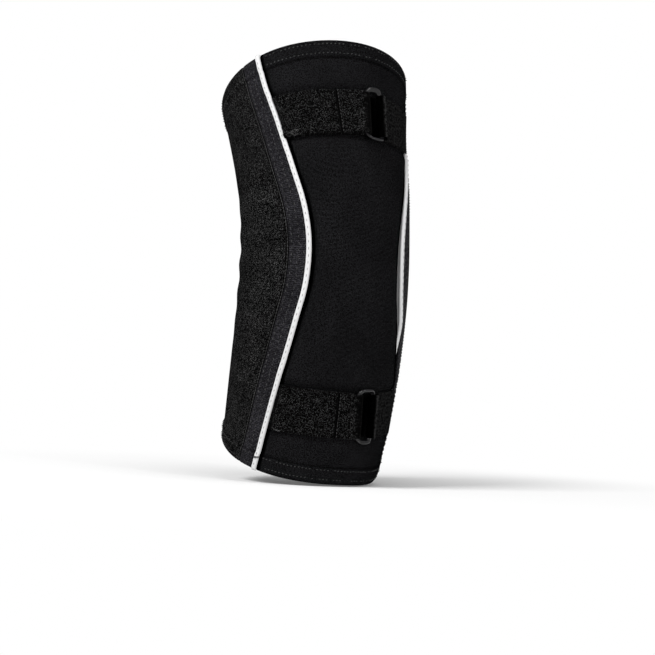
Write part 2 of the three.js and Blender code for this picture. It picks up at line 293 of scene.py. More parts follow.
def shaped_grid(columns, rows, place, flat, double=True, crowded=(0.65, 0.65)):
    """A grid whose vertices go to place(u, v, side). flat(u, v) is the point on the flat cut."""
    bm = bmesh.new()
    bmesh.ops.create_grid(bm, x_segments=columns, y_segments=rows, size=0.5)
    u_of = bm.verts.layers.float.new("u")
    v_of = bm.verts.layers.float.new("v")
    side_of = bm.verts.layers.float.new("side")
    for vert in bm.verts:
        vert[u_of] = crowd(vert.co.x + 0.5, crowded[0])
        vert[v_of] = crowd(vert.co.y + 0.5, crowded[1])
    if double:
        moved = bmesh.ops.extrude_face_region(bm, geom=bm.faces[:], use_keep_orig=True)["geom"]
        for vert in moved:
            if isinstance(vert, bmesh.types.BMVert):
                vert[side_of] = 1
    cut = bm.loops.layers.uv.new("cut")
    for face in bm.faces:
        for loop in face.loops:
            loop[cut].uv = flat(loop.vert[u_of], loop.vert[v_of])
    for vert in bm.verts:
        vert.co = place(vert[u_of], vert[v_of], vert[side_of])
    return bm


def put(name, data):
    thing = bpy.data.objects.new(name, data)
    bpy.context.scene.collection.objects.link(thing)
    return thing


def settle(bm, name, material, nodes=()):
    """Turns a bmesh into a smooth piece that rides with the body and stands for its nodes."""
    bmesh.ops.recalc_face_normals(bm, faces=bm.faces[:])
    for face in bm.faces:
        face.smooth = True
    mesh = bpy.data.meshes.new(name)
    bm.to_mesh(mesh)
    bm.free()
    piece = put(name, mesh)
    mesh.materials.append(material)
    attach(piece, "root")
    if nodes:
        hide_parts(*nodes)
    print(f"{name}: {len(mesh.polygons)} faces")
    return piece


print("the first grid line moves from 0.1 to", round(crowd(0.1, 0.65), 3))

# %% [markdown]
# The camera stands where the photographer's did: a little to the left of the back, a touch below the middle,
# far away with a long lens, and tilted by three degrees. It could be aimed by eye, but three angles and one
# scale are easier to match to a picture. It is placed first, because everything else is judged through it.

# %% Camera
AZIMUTH, ELEVATION, ROLL = (radians(angle) for angle in (-27, -2, 3))
CAMERA_DISTANCE = 900
CENTRE_RIGHT, CENTRE_UP = -1.5, 33
PICTURE_PER_MM, PICTURE_SIDE, SENSOR = 169 / 93, 655, 36

back = Vector((sin(AZIMUTH) * cos(ELEVATION), -cos(AZIMUTH) * cos(ELEVATION),
               sin(ELEVATION)))
level = Vector((cos(AZIMUTH), sin(AZIMUTH), 0))
upright = back.cross(level)
right = level * cos(ROLL) + upright * sin(ROLL)
upward = upright * cos(ROLL) - level * sin(ROLL)

camera_data = bpy.data.cameras.new("camera")
camera_data.sensor_width = SENSOR
camera_data.lens = SENSOR * PICTURE_PER_MM * CAMERA_DISTANCE / PICTURE_SIDE
camera = put("camera", camera_data)
target = (right * -CENTRE_RIGHT + upward * -CENTRE_UP) * MM
pose = Matrix((right, upward, back)).transposed().to_4x4()
camera.matrix_world = Matrix.Translation(target + back * CAMERA_DISTANCE * MM) @ pose
bpy.context.scene.camera = camera
bpy.context.scene.view_settings.view_transform = "Standard"
print("lens:", round(camera_data.lens, 1), "mm")

# %% [markdown]
# Materials, the floor and the surroundings are all trees of shader nodes. Wiring them one line at a time is
# long and hard to read, so one small class does it: each call adds a node, sets its inputs by name, and links
# those that are given as sockets. A group is the same thing with named inputs and outputs of its own.

# %% Node wiring
WHITE = (1, 1, 1, 1)


class Wiring:
    """Adds nodes to one tree. An input is given as a plain value or as a socket to link."""
    def __init__(self, tree):
        self.tree = tree
        tree.nodes.clear()

    def set(self, socket, value):
        if isinstance(value, bpy.types.NodeSocket):
            self.tree.links.new(value, socket)
        else:
            socket.default_value = value

    def add(self, kind, inputs=None, **settings):
        node = self.tree.nodes.new("ShaderNode" + kind)
        for setting, value in settings.items():
            setattr(node, setting, value)
        for key, value in (inputs or {}).items():
            self.set(node.inputs[key], value)
        return node.outputs

    def math(self, operation, *values):
        return self.add("Math", dict(enumerate(values)), operation=operation)[0]

    def ramp(self, value, low, high):
        limits = {"Value": value, "From Min": low, "From Max": high}
        return self.add("MapRange", limits, interpolation_type="SMOOTHSTEP")["Result"]

    def scale(self, colour, factor):
        return self.add("VectorMath", {0: colour, "Scale": factor}, operation="SCALE")["Vector"]


def new_material(name):
    material = bpy.data.materials.new(name)
    material.use_nodes = True
    print("material:", name)
    return material, Wiring(material.node_tree)

# %% [markdown]
# The studio is plain: a pale floor under the brace, soft light from all round, and a few soft boxes. A floor
# with an edge, or with a darker far side, would show as a horizon behind the object. Here it is a wide disc
# that turns from matt white near the brace into the same white as the surroundings, which keeps the shadow.

# %% Floor
FLOOR_LEVEL, FLOOR_RADIUS, FLOOR_WHITE = -0.1185, 10, 0.86
FADE_FROM, FADE_TO = 0.06, 0.35

floor_material, wiring = new_material("pale_floor")
distance = wiring.add("VectorMath", {0: wiring.add("TexCoord")["Object"]}, operation="LENGTH")["Value"]
matt = wiring.add("BsdfDiffuse", {"Color": (FLOOR_WHITE, FLOOR_WHITE, FLOOR_WHITE, 1)})["BSDF"]
glow = wiring.add("Emission", {"Color": WHITE})["Emission"]
fade = wiring.ramp(distance, FADE_FROM, FADE_TO)
blend = wiring.add("MixShader", {"Fac": fade, 1: matt, 2: glow})["Shader"]
wiring.add("OutputMaterial", {"Surface": blend})

floor_mesh = bpy.data.meshes.new("floor")
floor_bm = bmesh.new()
bmesh.ops.create_circle(floor_bm, cap_ends=True, segments=96, radius=FLOOR_RADIUS)
bmesh.ops.translate(floor_bm, verts=floor_bm.verts[:], vec=(0, 0, FLOOR_LEVEL))
floor_bm.to_mesh(floor_mesh)
floor_bm.free()
floor_mesh.materials.append(floor_material)
put("floor", floor_mesh)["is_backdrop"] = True
print("floor level:", FLOOR_LEVEL / MM, "mm")

# %% [markdown]
# The brace is black, so front light alone would leave it without form. The key light from the upper left
# grazes the cloth, two weak boxes fill in from above and below, and a narrow one gives the rings a glint. The
# surroundings are dimmer than they look: the camera sees white, black cloth gets a little light, and glossy
# plastic gets more to mirror.

# %% Light
def soft_box(name, place, size, power):
    lamp = bpy.data.lights.new(name, "AREA")
    lamp.shape = "RECTANGLE"
    lamp.size, lamp.size_y = size
    lamp.energy = power
    box = put(name, lamp)
    box.location = place
    box.rotation_mode = "QUATERNION"
    box.rotation_quaternion = Vector(place).to_track_quat("Z", "Y")
    print(f"{name}: {power} W")


soft_box("key_light", (-1.85, -0.62, 1.6), (0.9, 1.0), 68)
soft_box("top_light", (0.0, -0.5, 1.9), (1.0, 1.0), 12)
soft_box("low_light", (0.25, -1.6, 0.05), (1.2, 0.25), 8)
soft_box("glint_light", (0.35, -1.3, 0.5), (0.12, 0.5), 3)

# %% Surroundings
LIGHT_AROUND, SHINE_AROUND = 0.18, 0.6
world = bpy.data.worlds.new("studio")
world.use_nodes = True
bpy.context.scene.world = world
wiring = Wiring(world.node_tree)
ray = wiring.add("LightPath")
strength = wiring.math("MULTIPLY_ADD", ray["Is Glossy Ray"], SHINE_AROUND - LIGHT_AROUND, LIGHT_AROUND)
around = wiring.add("Background", {"Color": WHITE, "Strength": strength})["Background"]
seen = wiring.add("Background", {"Color": WHITE})["Background"]
blend = wiring.add("MixShader", {"Fac": ray["Is Camera Ray"], 1: around, 2: seen})["Shader"]
wiring.add("OutputWorld", {"Surface": blend})
print("light from all round:", LIGHT_AROUND)

# %% [markdown]
# Several fabrics here are knitted, woven or brushed. A photograph of cloth would be quick to use, but it
# can't be changed or enlarged, so each effect is a node group with named inputs that gives a height and a
# mask.

# %% Node groups
class Group(Wiring):
    def __init__(self, name, inputs, outputs):
        super().__init__(bpy.data.node_groups.new(name, "ShaderNodeTree"))
        for label, value in inputs.items():
            kind = "NodeSocketVector" if value is None else "NodeSocketFloat"
            socket = self.tree.interface.new_socket(name=label, in_out="INPUT", socket_type=kind)
            if value is not None:
                socket.default_value = value
        for label in outputs:
            self.tree.interface.new_socket(name=label, in_out="OUTPUT", socket_type="NodeSocketFloat")
        self.input = self.tree.nodes.new("NodeGroupInput").outputs
        self.output = self.tree.nodes.new("NodeGroupOutput").inputs

    plus, minus = partialmethod(Wiring.math, "ADD"), partialmethod(Wiring.math, "SUBTRACT")
    times, over = partialmethod(Wiring.math, "MULTIPLY"), partialmethod(Wiring.math, "DIVIDE")
    size = partialmethod(Wiring.math, "ABSOLUTE")

    def noise(self, vector, scale, detail=2.0, roughness=0.5):
        settings = {"Vector": vector, "Scale": scale, "Detail": detail, "Roughness": roughness}
        return self.add("TexNoise", settings)["Fac"]

    def finish(self, **results):
        for label, value in results.items():
            self.set(self.output[label], value)
        print("group:", self.tree.name)
        return self.tree

# %% [markdown]
# Knit is rows of small V-shaped loops. Sine waves across and along the cloth give the columns and the rows,
# a slant inside each column turns the rows into Vs, and a little noise keeps the loops from being perfect.
# Chance for each loop and a wider fleck let some loops catch the light and others not, as worn yarn does.

# %% Knit group
g = Group("knit_loops", {"Vector": None, "Column": 1.0, "Row": 0.8, "Stray": 0.2, "Speck": 0.5,
                         "Fleck": 1.0, "Fleck Size": 1.3}, ["Height", "Loop"])
cut = g.input["Vector"]
stray = g.times(g.minus(g.noise(cut, 0.9, 3.0), 0.5), g.input["Stray"])
x, y, _ = g.add("SeparateXYZ", {0: cut})
column = g.plus(g.over(x, g.input["Column"]), g.times(stray, 3.0))
inside = g.size(g.minus(g.math("FRACT", column), 0.5))
row = g.over(y, g.input["Row"])
slant = g.plus(g.plus(row, g.times(inside, 1.3)), g.times(stray, 6.0))
wave = g.math("MULTIPLY_ADD", g.math("SINE", g.times(slant, 2 * pi)), 0.5, 0.5)
rib = g.math("COSINE", g.times(g.minus(inside, 0.25), 2 * pi))
height = g.times(wave, g.math("MAXIMUM", rib, 0.0))
half_column, loop_row = g.math("FLOOR", g.times(column, 2.0)), g.math("FLOOR", g.minus(slant, 0.25))
one_loop = g.add("CombineXYZ", {0: half_column, 1: loop_row})[0]
luck = g.add("TexWhiteNoise", {"Vector": one_loop})["Value"]
speck = g.math("MULTIPLY_ADD", g.minus(luck, 0.5), g.input["Speck"], 1.0)
fleck = g.ramp(g.noise(cut, g.over(1.0, g.input["Fleck Size"])), 0.36, 0.66)
swing = g.times(g.minus(g.times(fleck, 2.0), 1.0), g.input["Fleck"])
lit = g.times(speck, g.plus(swing, 1.0))
KNIT = g.finish(Height=height, Loop=g.times(g.ramp(height, 0.3, 0.95), lit))

# %% [markdown]
# Brushed pile has no order, so it is fine noise for the fibres, cells for the tufts and wide noise for the
# clumps. Webbing and tape are woven: one thread goes over, the next under, which two crossed sine waves give.
# Mottle is only a slow change of shade, because no cloth is equally black all over.

# %% Pile, weave and mottle groups
g = Group("brushed_pile", {"Vector": None, "Size": 1.0, "Clump": 0.5}, ["Height", "Tip"])
cut = g.input["Vector"]
scale = g.over(1.0, g.input["Size"])
fine = g.noise(cut, scale, 4.0, 0.7)
clump = g.noise(cut, g.times(scale, 0.28))
cells = g.add("TexVoronoi", {"Vector": cut, "Scale": g.times(scale, 1.3)})["Distance"]
mixed = g.plus(g.times(fine, 0.7), g.times(g.minus(1.0, cells), 0.3))
height = g.math("MULTIPLY_ADD", g.minus(clump, 0.5), g.input["Clump"], mixed)
PILE = g.finish(Height=height, Tip=g.ramp(height, 0.52, 0.76))

g = Group("plain_weave", {"Vector": None, "Pitch": 1.0}, ["Height", "Thread"])
x, y, _ = g.add("SeparateXYZ", {0: g.input["Vector"]})
across, along = (g.times(g.over(way, g.input["Pitch"]), pi) for way in (x, y))
warp = g.times(g.size(g.math("SINE", across)), g.math("COSINE", along))
weft = g.times(g.size(g.math("SINE", along)), g.math("COSINE", across))
height = g.math("MAXIMUM", g.size(warp), g.size(weft))
WEAVE = g.finish(Height=height, Thread=g.ramp(height, 0.2, 0.9))

g = Group("mottle", {"Vector": None, "Size": 20.0, "Low": 0.8, "High": 1.2}, ["Value"])
wide = g.noise(g.input["Vector"], g.over(1.0, g.input["Size"]), 3.0)
span = g.minus(g.input["High"], g.input["Low"])
MOTTLE = g.finish(Value=g.math("MULTIPLY_ADD", g.ramp(wide, 0.3, 0.7), span, g.input["Low"]))

# %% [markdown]
# A fabric material is always the same chain: the pattern on the cut's own millimetres gives a mask and a
# height, the mask blends a dark and a light thread colour, mottle varies it slowly, a painted shade mask
# darkens the seams, folds and ring slots where shade falls and paints a highlight along the top of the tabs'
# folds, and the height feeds a bump. Only the pattern and the numbers differ.

# %% Fabric material
SHEEN_ROUGHNESS = 0.45


def fabric(name, pattern, settings, signal, dark, light, bump, depth, mottled, sheen=0.0, roughness=0.9,
           painted_shading=0.0, tint=(1, 1, 1), gloss=0.02):
    """dark and light are thread colours, depth is the bump's in millimetres, mottled is (size, low, high)."""
    material, wiring = new_material(name)
    cut = wiring.add("UVMap", uv_map="cut")["UV"]
    grain = wiring.add("Group", {**settings, "Vector": cut}, node_tree=pattern)
    ends = {end: (*(shade * t for t in tint), 1) for end, shade in (("A", dark), ("B", light))}
    threads = wiring.add("Mix", {**ends, "Factor": grain[signal]}, data_type="RGBA")["Result"]
    slow = {"Vector": cut, **dict(zip(("Size", "Low", "High"), mottled))}
    colour = wiring.scale(threads, wiring.add("Group", slow, node_tree=MOTTLE)["Value"])
    # painted shade and highlight: the mask darkens the colour where shade falls, and lightens it as a painted
    # highlight where it is negative
    if painted_shading:
        mask = wiring.add("Attribute", attribute_name="painted_shading")["Fac"]
        colour = wiring.scale(colour, wiring.math("MULTIPLY_ADD", mask, -painted_shading, 1))
    relief_node = wiring.add("Bump", {"Strength": bump, "Distance": depth * MM, "Height": grain["Height"]})
    shader = wiring.add("BsdfPrincipled", {
        "Base Color": colour, "Roughness": roughness, "Specular IOR Level": gloss, "Sheen Weight": sheen,
        "Sheen Roughness": SHEEN_ROUGHNESS, "Normal": relief_node["Normal"]})["BSDF"]
    wiring.add("OutputMaterial", {"Surface": shader})
    return material

# %% [markdown]
# The back panel is faced with fine smooth jersey, the side bands with a coarser one of a bluer black, and the
# crook with coarse knit that stretches. Nearly black thread looks grey only where it catches light, so each
# fabric gets a very dark and a dark grey colour rather than one middle tone, and hardly any gloss.

# %% The brace's fabrics
JERSEY = fabric(
    "black_jersey", KNIT, {"Column": 0.62, "Row": 0.5, "Stray": 0.12, "Speck": 0.9, "Fleck": 0.6,
                           "Fleck Size": 0.8},
    "Loop", dark=0.0006, light=0.034, bump=0.5, depth=0.12, mottled=(24, 0.85, 1.15), painted_shading=0.97,
    tint=(0.97, 0.98, 1.04), gloss=0.0)
BAND_JERSEY = fabric(
    "band_jersey", KNIT, {"Column": 0.9, "Row": 0.8, "Stray": 0.3, "Speck": 1.2, "Fleck": 0.7,
                          "Fleck Size": 1.2},
    "Loop", dark=0.005, light=0.057, bump=0.7, depth=0.2, mottled=(14, 0.8, 1.25), sheen=0.008,
    painted_shading=0.85, tint=(0.99, 0.96, 1.1))
COARSE_KNIT = fabric(
    "coarse_knit", KNIT, {"Column": 1.5, "Row": 1.2, "Stray": 0.6, "Speck": 1.4, "Fleck": 0.7,
                          "Fleck Size": 1.0},
    "Loop", dark=0.0010, light=0.064, bump=0.8, depth=0.4, mottled=(18, 0.8, 1.2), sheen=0.002,
    painted_shading=0.8, gloss=0.0)
LOOP_PILE = fabric(
    "loop_pile", PILE, {"Size": 0.85, "Clump": 0.3},
    "Tip", dark=0.0006, light=0.050, bump=1.0, depth=0.4, mottled=(12, 0.75, 1.25), sheen=0.01,
    roughness=1.0, painted_shading=0.75)
WEBBING = fabric(
    "webbing", WEAVE, {"Pitch": 0.95},
    "Thread", dark=0.0006, light=0.012, bump=1.0, depth=0.3, mottled=(1.4, 0.1, 1.9), painted_shading=0.95,
    gloss=0.0)
TAPE = fabric(
    "white_tape", WEAVE, {"Pitch": 0.45},
    "Thread", dark=0.53, light=0.62, bump=0.3, depth=0.06, mottled=(30, 0.97, 1.0), roughness=0.6)

# %% Threads for the stitches
def thread(name, dark, light, mottled, sheen=0.0, gloss=0.02):
    return fabric(name, WEAVE, {"Pitch": 0.2}, "Thread", dark, light, 0.4, 0.05, mottled, sheen, 0.7,
                  gloss=gloss)


GREY_THREAD = thread("grey_thread", 0.008, 0.022, (9, 0.3, 1.7), 0.03, 0.3)
BAND_THREAD = thread("band_thread", 0.014, 0.036, (6, 0.3, 1.7), 0.03, 0.3)
LOOSE_THREAD = thread("loose_thread", 0.05, 0.14, (5, 0.5, 1.4), 0.05, 0.3)
BLACK_THREAD = thread("black_thread", 0.006, 0.02, (5, 0.5, 1.4), 0.03, 0.3)
TAPE_THREAD = thread("tape_thread", 0.18, 0.27, (5, 0.9, 1.1))

# %% [markdown]
# The rings are moulded in glossy black plastic. One even roughness would look like glass, so fine noise in
# the roughness stands for handling marks, and a faint bump for the moulded surface. Both lie on Object
# coordinates, because the ring is rigid.

# %% Ring plastic
PLASTIC_BLACK, PLASTIC_SHINE, MARKS_SCALE = (0.006, 0.006, 0.0065, 1), 0.32, 900
RING_PLASTIC, wiring = new_material("ring_plastic")
where = wiring.add("TexCoord")["Object"]
marks = wiring.add("TexNoise", {"Vector": where, "Scale": MARKS_SCALE, "Detail": 3})["Fac"]
rough = wiring.add("MapRange", {"Value": marks, "To Min": 0.05, "To Max": 0.11})["Result"]
moulded = wiring.add("Bump", {"Strength": 0.03, "Distance": 0.05 * MM, "Height": marks})["Normal"]
shader = wiring.add("BsdfPrincipled", {
    "Base Color": PLASTIC_BLACK, "Specular IOR Level": PLASTIC_SHINE, "Roughness": rough,
    "Normal": moulded})["BSDF"]
wiring.add("OutputMaterial", {"Surface": shader})

# %% [markdown]
# Each strap is one long strip: it leaves the seam by the piping, goes under the ring's bar, round it, and
# back over itself. Bending a finished strip round a bar would stretch it, so its section is laid out first,
# as a line of centre points. The strip is then a grid whose columns follow the line and whose rows run up its
# width. The tabs on the other side are made the same way.

# %% Strap layout
PIPING_WIDTH = 2.8
STRAP_THICKNESS, END_THICKNESS, TAB_THICKNESS = 1.3, 1.2, 0.9
RING_WIDTH, RING_WIRE, RING_THICKNESS, RING_CORNER = 13.6, 2.4, 1.8, 4.4
BAR_OFFSET = (RING_WIDTH - RING_WIRE) / 2
BAR_HEIGHT = 2 * CLEAR + STRAP_THICKNESS + RING_THICKNESS / 2
Strap = namedtuple("Strap", "place turn slant fold end_gap")
STRAPS = {
    "upper": Strap(STRAP_PLACES[0], turn=11, slant=0.0, fold=16.4, end_gap=0.2),
    "lower": Strap(STRAP_PLACES[1], turn=14, slant=-0.11, fold=12.6, end_gap=2.0),
}


def ring_turn(strap, y, along):
    return radians(strap.turn) + strap.slant * y / half_width(along)


def on_strap(strap, x, y, height):
    length = strap.place + y
    along = length / reach(0, length)
    turn = 0
    for _ in range(3):
        turn = ring_turn(strap, y, along) + x / (half_width(along) + BAR_HEIGHT)
        along = length / reach(turn, length)
    return on_tube(turn, along, height - press(turn, along))


@lru_cache(maxsize=None)
def bar_to_piping(strap, side, y):
    length = strap.place + y
    along = length / reach(0, length)
    for _ in range(4):
        along = length / reach(side * back_seam(along), length)
    edge = back_seam(along) - (PIPING_WIDTH / 2 + CLEAR) / mean_radius(along)
    return (edge - side * ring_turn(strap, y, along)) * (half_width(along) + BAR_HEIGHT) - BAR_OFFSET


def beside_bar(strap, x, y, height, side=-1):
    """A point at x from the bar, where the strip widens or narrows to meet the slanting seam."""
    stretch = bar_to_piping(strap, side, y) / bar_to_piping(strap, side, 0) if x > 0 else 1
    return on_strap(strap, side * (BAR_OFFSET + x * stretch), y, height)


def folded_line(thickness, root, back_to, lay_down=9):
    """Centre points from the seam under the bar, round it and back, as (distance from the bar, height)."""
    low = CLEAR + thickness / 2
    high = 2 * BAR_HEIGHT - low
    laid = low + thickness + CLEAR
    round_bar = RING_WIRE / 2 + CLEAR + thickness / 2
    line = [(lerp(root, 0, i / 30), low) for i in range(31)]
    for i in range(1, 14):
        angle = pi * i / 14
        line.append((-round_bar * sin(angle), lerp(low, high, (1 - cos(angle)) / 2)))
    start = RING_WIRE / 2 + lay_down
    for i in range(13):
        t = i / 12
        line.append((lerp(RING_WIRE / 2, start, t), lerp(high, laid, ease(t))))
    steps = max(2, round(abs(back_to - start) / 1.2))
    line += [(lerp(start, back_to, i / steps), laid) for i in range(1, steps + 1)]
    return line


print("the ring's bars stand", round(BAR_HEIGHT, 2), "mm over the panel")

# %% [markdown]
# A panel is padded cloth with rounded edges: at a seam the face turns down into the gap, and at a rim the
# cloth is turned in and makes a full soft edge. A bevel would round all edges alike, so the inset of each
# edge is a quarter circle of its own radius.

# %% Edges of a panel
SEAM_RADIUS = 1.1


def edge_inset(distance, radius):
    if distance >= radius:
        return 0
    return radius - sqrt(max(0.0, radius ** 2 - (radius - max(distance, 0)) ** 2))


print("a seam's edge turns down by", SEAM_RADIUS, "mm")

# %% [markdown]
# Deep seams, the valley beside the piping at the elbow, the line of the hem and the slots of the rings are
# darker than their form alone makes them, because hardly any light gets in. That shade is painted: each
# vertex gets a painted shade mask from the same distances that shape the panel, so shade and form agree.

# %% Wall panels
FLANGE_GAP, SEWN_GAP = 0.6, 0.1
COLUMN_SIZE, ROW_SIZE = 1.5, 1.5
AREA_STEPS, HEM_CUT = 40, 8


def ring_slot_shade(turn, along):
    """Painted shade: 1 in the slot of a ring, fading to 0 round it."""
    shade = 0
    for strap in STRAPS.values():
        beside = abs((turn - ring_turn(strap, 0, along)) * half_width(along))
        above = abs(along * reach(turn, along) - strap.place)
        shade = max(shade, ease((RING_WIDTH / 2 - beside) / 2) * ease((STRAP_WIDTH / 2 + 0.5 - above) / 2))
    return shade


def wall_panel(name, node, start, stop, gaps, material, seam_shade=1.1, hem_shade=0.6):
    """start and stop give the seams as turns, gaps the half gaps there in millimetres."""
    def turn_at(u, along):
        radius = mean_radius(along)
        return lerp(start(along) + gaps[0] / radius, stop(along) - gaps[1] / radius, u)

    def width(along):
        return (stop(along) - start(along)) * mean_radius(along)

    def place(u, v, side):
        along = lerp(-1, 1, v)
        turn = turn_at(u, along)
        rim = edge_inset(rim_distance(along), RIM_RADIUS)
        beside = min(u, 1 - u) * width(along)
        soft = relief(turn, along)
        if side:
            return on_tube(turn, along, rim - WALL + 0.5 * soft)
        return on_tube(turn, along, hem_lift(along) + soft - rim - edge_inset(beside, SEAM_RADIUS))

    def flat(u, v):
        along = lerp(-1, 1, v)
        return turn_at(u, along) * mean_radius(along), along * SLEEVE_LENGTH / 2

    columns = max(10, round(width(0) / COLUMN_SIZE))
    rows = round(SLEEVE_LENGTH / ROW_SIZE)
    bm = shaped_grid(columns, rows, place, flat)
    painted_shades = []
    u_of, v_of = bm.verts.layers.float["u"], bm.verts.layers.float["v"]
    for vert in bm.verts:
        along = lerp(-1, 1, vert[v_of])
        turn = turn_at(vert[u_of], along)
        beside = min(vert[u_of], 1 - vert[u_of]) * width(along)
        # painted shade: the seams, the elbow valley beside the piping, the ring slots and the hem line are
        # darkened in the colour
        sunk = valley(turn, along) / VALLEY_DEPTH
        hem_line_shade = hem_shade * ease(1.4 - abs(rim_distance(along) - HEM_DEPTH - HEM_STEP / 2) / 0.5)
        painted_shades.append(clamp(max(ease((seam_shade - beside) / 0.8), sunk, ring_slot_shade(turn, along), hem_line_shade)))
    piece = settle(bm, name, material, [node])
    piece.data.attributes.new("painted_shading", "FLOAT", "POINT").data.foreach_set("value", painted_shades)
    middles = [width(lerp(-1, 1, (i + 0.5) / AREA_STEPS)) for i in range(AREA_STEPS)]
    widest = max(width(lerp(-1, 1, i / AREA_STEPS)) for i in range(AREA_STEPS + 1))


wall_panel("back_panel_cloth", "back_panel", lambda a: -back_seam(a), back_seam, (FLANGE_GAP, FLANGE_GAP),
           JERSEY, seam_shade=3.3)
wall_panel("side_band_left", "side_panel_left", lambda a: -side_seam(a), lambda a: -back_seam(a),
           (SEWN_GAP, FLANGE_GAP), BAND_JERSEY)
wall_panel("side_band_right", "side_panel_right", back_seam, side_seam, (FLANGE_GAP, SEWN_GAP),
           BAND_JERSEY)
wall_panel("crook_panel_cloth", "crook_panel", side_seam, lambda a: 2 * pi - side_seam(a),
           (SEWN_GAP, SEWN_GAP), COARSE_KNIT, hem_shade=0.3)

# %% [markdown]
# The white piping is a narrow tape whose folded edge is sewn in between two panels. Its section is a low
# arch over a thin flange. A bevelled curve would roll as it follows the tube, so a grid runs round the
# section and along the seam. Its first and last column meet, so merging doubles closes it.

# %% Piping
PIPING_RISE, FLANGE, FLANGE_DEPTH = 1.5, 0.9, 2.4
PIPING_SINK, SINK_REACH, SUNK_FLATTER = 1.8, 0.2, 0.6
SINKS_ABOVE, SINKS_BELOW = 0.47, 0.2
# rows of (distance from the seam, height over the panels), from the flange up to the top
HALF_SECTION = [(-0.1, -FLANGE_DEPTH), (-FLANGE / 2, -0.5), (-1.25, -0.15), (-1.4, 0.35), (-1.3, 0.95),
                (-0.85, 1.38)]
PIPING_SECTION = [*HALF_SECTION, (0, PIPING_RISE), *((-x, h) for x, h in reversed(HALF_SECTION))]


def section_point(share):
    at = share * (len(PIPING_SECTION) - 1)
    i = min(int(at), len(PIPING_SECTION) - 2)
    (x0, h0), (x1, h1) = PIPING_SECTION[i], PIPING_SECTION[i + 1]
    return lerp(x0, x1, at - i), lerp(h0, h1, at - i)


def tape_height(side, along, height):
    """On the right the tape lies flatter and sinks in behind the full panel near both rims."""
    starts = SINKS_ABOVE if along > 0 else SINKS_BELOW
    sunk = ease((abs(along) - starts) / SINK_REACH) if side > 0 else 0
    level = relief(side * back_seam(along) * 1.02, along) + hem_lift(along)
    return level + height * (1 - SUNK_FLATTER * sunk) - PIPING_SINK * sunk


def piping(side, name, node):
    def place(u, v, _):
        along = lerp(-1, 1, v) * 0.999
        x, height = section_point(u)
        turn = side * back_seam(along) + x / mean_radius(along)
        from_rim = (1 - abs(along)) * UPPER_LENGTH
        return on_tube(turn, along, tape_height(side, along, height) - 0.7 * edge_inset(from_rim, RIM_RADIUS))

    def flat(u, v):
        return section_point(u)[0] * 1.4, lerp(-1, 1, v) * SLEEVE_LENGTH / 2

    bm = shaped_grid(36, 150, place, flat, double=False, crowded=(0, 0.5))
    bmesh.ops.remove_doubles(bm, verts=bm.verts[:], dist=0.25 * MM)
    bmesh.ops.holes_fill(bm, edges=[edge for edge in bm.edges if edge.is_boundary], sides=0)
    settle(bm, name, TAPE, [node])


piping(-1, "piping_tape_left", "piping_left")
piping(1, "piping_tape_right", "piping_right")

# %% [markdown]
# A strip keeps its length when it is folded, so every vertex is placed by how far it lies along the line of
# centre points. The line's direction there also gives the way outwards, for the strip's thickness.

# %% Following a line
def run_lengths(line):
    total = [0.0]
    for (x0, h0), (x1, h1) in zip(line, line[1:]):
        total.append(total[-1] + hypot(x1 - x0, h1 - h0))
    return total


def line_point(line, runs, share):
    want = share * runs[-1]
    i = 0
    while i < len(runs) - 2 and runs[i + 1] < want:
        i += 1
    t = clamp((want - runs[i]) / max(runs[i + 1] - runs[i], 1e-6))
    before, after = line[max(i - 1, 0)], line[min(i + 2, len(line) - 1)]
    (x0, h0), (x1, h1) = line[i], line[i + 1]
    dx, dh = lerp(x1 - before[0], after[0] - x0, t), lerp(h1 - before[1], after[1] - h0, t)
    size = hypot(dx, dh)
    return lerp(x0, x1, t), lerp(h0, h1, t), -dh / size, dx / size


print("a 3 by 4 mm corner runs", run_lengths([(0, 0), (3, 4)])[-1], "mm")

# %% [markdown]
# The strap's edges are thinner than its middle, it is pinched a little where it goes through the ring, and
# its face is brushed into a pile. Bump alone would leave its outline smooth, so the pile is real relief:
# noise on the flat cut lifts each vertex of that face. A painted shade mask darkens the fold round the bar
# and the step at the join, where shade falls, and a painted highlight lightens the top of each tab's fold.

# %% Straps and tabs
PILE_LIFT, PILE_SIZE, FINER = 0.34, 0.9, 2.3
PINCH, PINCH_REACH, SAG = 0.05, 7, 0.3
FOLD_SHADE = 1


